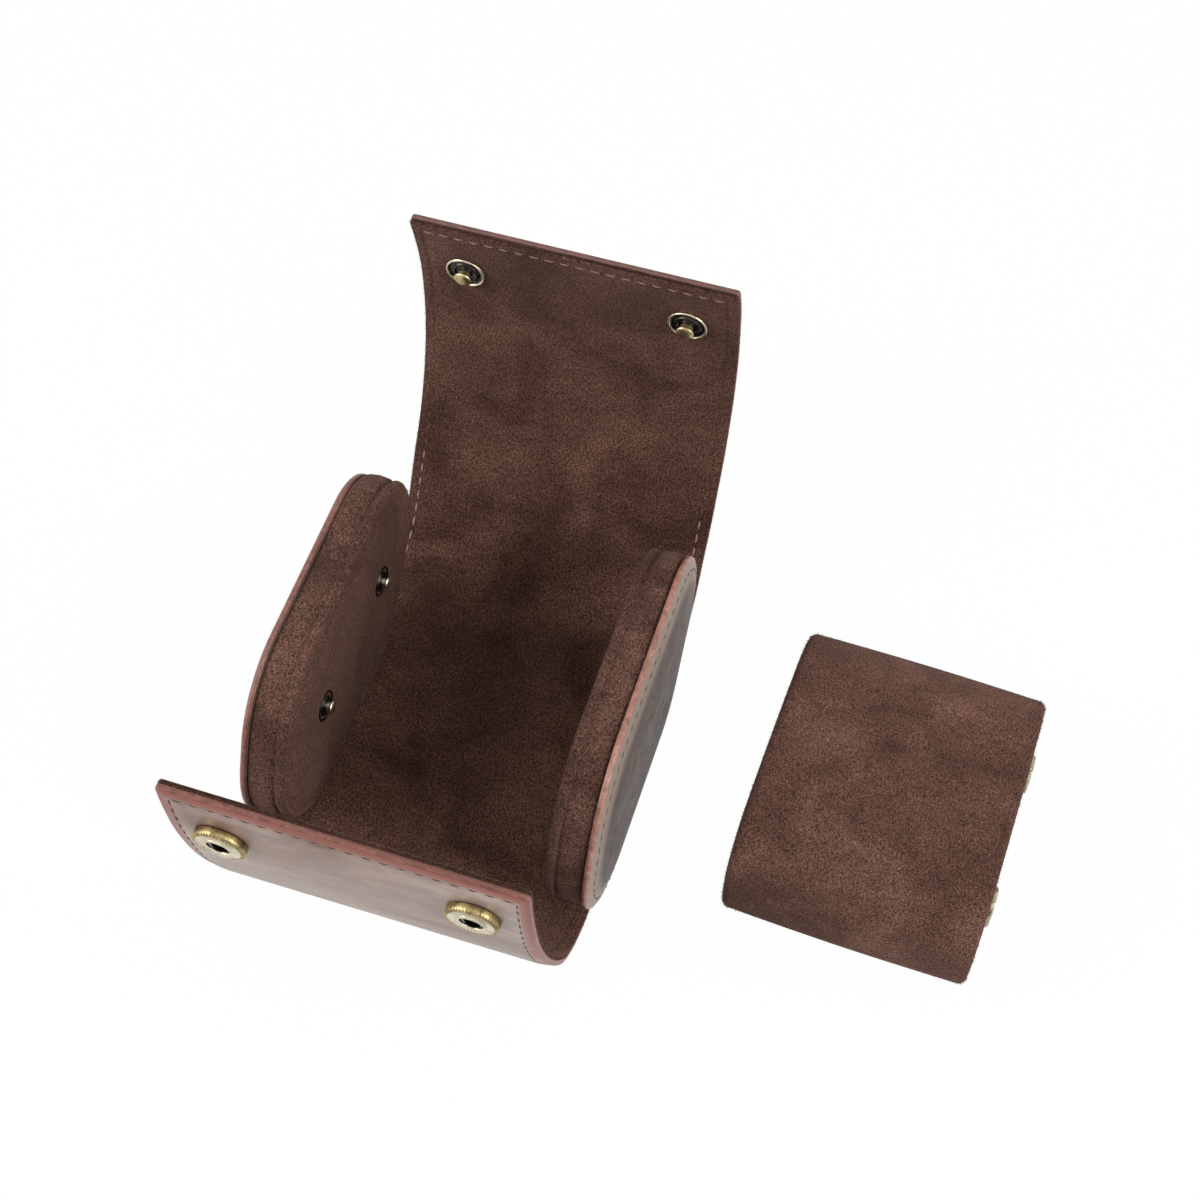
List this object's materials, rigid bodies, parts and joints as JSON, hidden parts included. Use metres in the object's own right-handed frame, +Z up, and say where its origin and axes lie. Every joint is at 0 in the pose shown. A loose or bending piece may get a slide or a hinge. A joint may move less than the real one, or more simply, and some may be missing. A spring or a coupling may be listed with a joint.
{
  "type": "watch storage case",
  "caption": "Roll-up leather watch case, standing open: padded end caps, snap-closed front flap and curling lid, and a lift-out suede watch cushion beside it.",
  "frame": {"origin": "on the table, under the flat floor of the case, midway between its two end caps", "axes": "+X along the roll from the left cap to the right cap, +Y towards the lid, +Z up"},
  "size_m": [0.1757, 0.1596, 0.0995],
  "materials": {
    "oiled_leather": "oiled pull-up leather, dark brown, with burnished reddish edges",
    "suede": "napped dark brown suede",
    "foam": "open-cell foam, hidden",
    "board": "grey-brown stiffener board, hidden",
    "antique_brass": "antiqued brass",
    "spring_steel": "darkened spring wire"
  },
  "bodies": {
    "case": {"floor_leather": "oiled_leather", "floor_lining": "suede", "left_cap_leather": "oiled_leather", "left_cap_band": "suede", "left_cap_face": "suede", "left_cap_foam": "foam", "left_cap_board": "board", "right_cap_leather": "oiled_leather", "right_cap_band": "suede", "right_cap_face": "suede", "right_cap_foam": "foam", "right_cap_board": "board", "left_cap_studs": "antique_brass", "left_cap_stud_rivets": "antique_brass"},
    "front_lower": {"front_lower_leather": "oiled_leather", "front_lower_lining": "suede"},
    "front_upper": {"front_upper_leather": "oiled_leather", "front_upper_lining": "suede", "front_sockets": "antique_brass", "front_socket_springs": "spring_steel", "front_socket_rivets": "antique_brass"},
    "lid_lower": {"lid_lower_leather": "oiled_leather", "lid_lower_lining": "suede"},
    "lid_middle": {"lid_middle_leather": "oiled_leather", "lid_middle_lining": "suede"},
    "lid_upper": {"lid_upper_leather": "oiled_leather", "lid_upper_lining": "suede", "lid_studs": "antique_brass", "lid_stud_rivets": "antique_brass"},
    "cushion": {"cushion_cover": "suede", "cushion_foam": "foam", "cushion_left_end": "suede", "cushion_right_end": "suede", "cushion_left_board": "board", "cushion_right_board": "board", "cushion_sockets": "antique_brass", "cushion_socket_springs": "spring_steel", "cushion_socket_rivets": "antique_brass"}
  },
  "joints": [
    {"name": "front_flap_fold", "type": "hinge", "parent": "case", "child": "front_lower", "pos_m": [0, -0.0276, 0.0034], "axis": [-1, 0, 0], "range_deg": [0, 32.5]},
    {"name": "front_flap_curl", "type": "hinge", "parent": "front_lower", "child": "front_upper", "pos_m": [0, -0.06031, 0.03625], "axis": [-1, 0, 0], "range_deg": [0, 54.75]},
    {"name": "lid_fold", "type": "hinge", "parent": "case", "child": "lid_lower", "pos_m": [0, 0.0209, 0.0034], "axis": [1, 0, 0], "range_deg": [0, 33.13]},
    {"name": "lid_middle_curl", "type": "hinge", "parent": "lid_lower", "child": "lid_middle", "pos_m": [0, 0.06245, 0.01915], "axis": [1, 0, 0], "range_deg": [0, 12.22]},
    {"name": "lid_upper_curl", "type": "hinge", "parent": "lid_middle", "child": "lid_upper", "pos_m": [0, 0.0698, 0.03035], "axis": [1, 0, 0], "range_deg": [0, 45.87]},
    {"name": "cushion_lift", "type": "slide", "parent": "case", "child": "cushion", "axis": [0, 0, 1], "range_m": [0, 0.1]}
  ],
  "couplings": [
    {"joint": "front_flap_curl", "follows": "front_flap_fold", "ratio": 1.6846},
    {"joint": "lid_middle_curl", "follows": "lid_fold", "ratio": 0.36893},
    {"joint": "lid_upper_curl", "follows": "lid_fold", "ratio": 1.3846}
  ]
}
